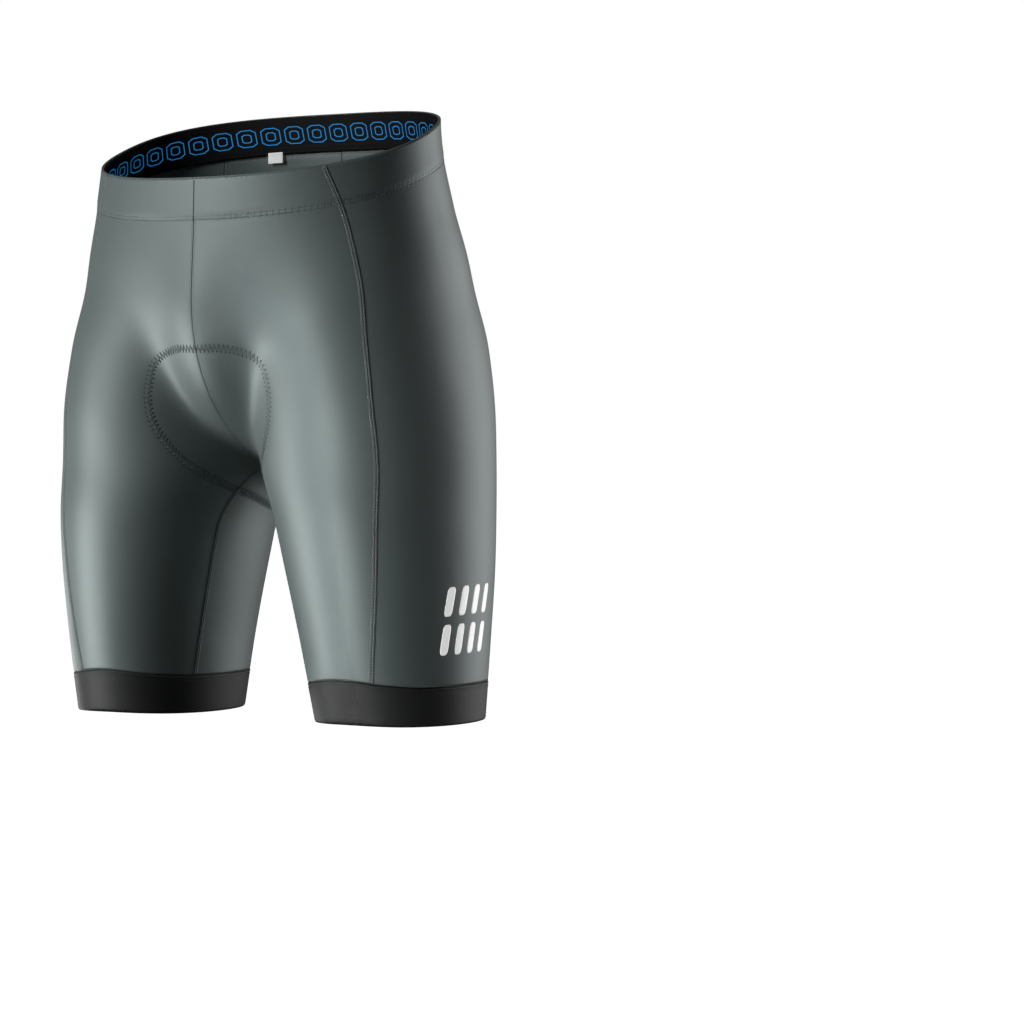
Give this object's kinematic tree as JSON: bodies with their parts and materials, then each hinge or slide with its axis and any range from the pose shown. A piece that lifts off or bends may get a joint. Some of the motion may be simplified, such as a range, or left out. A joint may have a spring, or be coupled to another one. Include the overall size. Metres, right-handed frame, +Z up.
{
  "type": "cycling shorts",
  "caption": "Padded cycling shorts in their worn, filled-out shape, hollow, with gripper bands at the legs, a wide waist elastic and a moulded seat pad.",
  "frame": {"origin": "middle of the waist opening, level with the side of the waist edge", "axes": "+Z up, -Y out of the front, +X to the wearer's left"},
  "size_m": [0.3762, 0.2428, 0.4996],
  "materials": {
    "knit": "satin",
    "gripper": "matte",
    "elastic": "matte",
    "foam": "matte",
    "tape": "matte"
  },
  "bodies": {
    "root": {"front_left": "knit", "front_right": "knit", "side_left": "knit", "side_right": "knit", "back_left": "knit", "back_right": "knit", "hem_left": "gripper", "hem_right": "gripper", "waist_elastic": "elastic", "size_label": "tape", "pad": "foam"}
  },
  "joints": []
}
